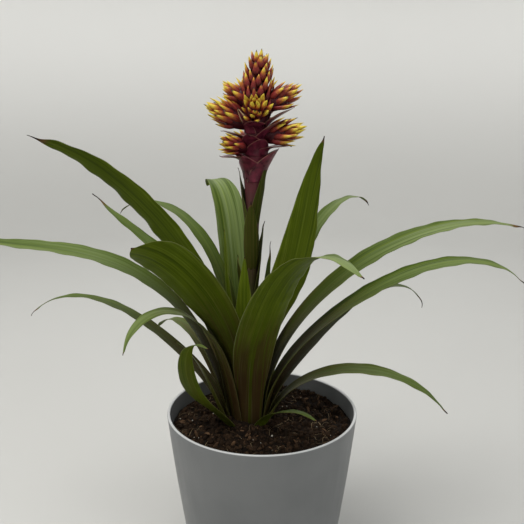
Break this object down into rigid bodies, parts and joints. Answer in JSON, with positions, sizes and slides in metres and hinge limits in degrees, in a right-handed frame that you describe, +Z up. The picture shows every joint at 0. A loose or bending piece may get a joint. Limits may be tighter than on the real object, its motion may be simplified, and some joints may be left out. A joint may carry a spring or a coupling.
{
  "type": "potted bromeliad",
  "caption": "Bromeliad plant with arching strap leaves and an upright compound flower head, growing in potting mix in a plain tapered round pot.",
  "frame": {"origin": "centre of the pot's flat underside", "axes": "+Z up along the pot's axis, -Y the front of the plant, +X to the right seen from the front"},
  "size_m": [0.5702, 0.4506, 0.5215],
  "materials": {
    "pot_plastic": "satin",
    "potting_mix": "matte",
    "crown_stem": "matte",
    "leaf_green": "satin",
    "stalk_green": "satin",
    "bract_green": "satin",
    "flower_red": "satin"
  },
  "bodies": {
    "root": {"pot": "pot_plastic", "potting_mix": "potting_mix", "crown": "crown_stem", "leaf_01": "leaf_green", "leaf_02": "leaf_green", "leaf_03": "leaf_green", "leaf_04": "leaf_green", "leaf_05": "leaf_green", "leaf_06": "leaf_green", "leaf_07": "leaf_green", "leaf_08": "leaf_green", "leaf_09": "leaf_green", "leaf_10": "leaf_green", "leaf_11": "leaf_green", "leaf_12": "leaf_green", "leaf_13": "leaf_green", "leaf_14": "leaf_green", "leaf_15": "leaf_green", "leaf_16": "leaf_green", "leaf_17": "leaf_green", "leaf_18": "leaf_green", "leaf_19": "leaf_green", "leaf_20": "leaf_green", "leaf_21": "leaf_green", "leaf_22": "leaf_green", "leaf_23": "leaf_green", "flower_stalk": "stalk_green", "stalk_bract_1": "bract_green", "stalk_bract_2": "bract_green", "stalk_bract_3": "bract_green", "stalk_bract_4": "bract_green", "stalk_bract_5": "bract_green", "flower_cluster_1": "flower_red", "flower_cluster_2": "flower_red", "flower_cluster_3": "flower_red", "flower_cluster_4": "flower_red", "flower_cluster_5": "flower_red", "flower_cluster_6": "flower_red", "flower_cluster_7": "flower_red", "flower_cluster_8": "flower_red", "flower_cluster_9": "flower_red"}
  },
  "joints": []
}
